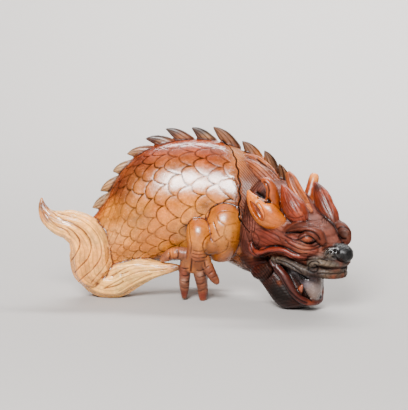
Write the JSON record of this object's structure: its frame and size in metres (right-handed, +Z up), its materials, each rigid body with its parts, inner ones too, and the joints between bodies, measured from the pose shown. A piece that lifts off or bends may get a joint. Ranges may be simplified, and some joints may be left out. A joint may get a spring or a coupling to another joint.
{
  "type": "carved makara figure",
  "caption": "Carved stone dragon-fish lying on its jaw, forelegs and curled tail, with an arched scaled body, a flame-edged back ridge and a turned horned head with open jaws.",
  "frame": {"origin": "middle of the figure's box in plan, on the surface that the jaw, tail and claws stand on", "axes": "+X from the tail to the head, +Z up, the side that the head turns to is -Y"},
  "size_m": [0.1739, 0.0902, 0.0976],
  "materials": {
    "stone": "polished hardstone, honey to russet, dark muzzle"
  },
  "bodies": {
    "root": {"dragon_fish": "stone"}
  },
  "joints": []
}
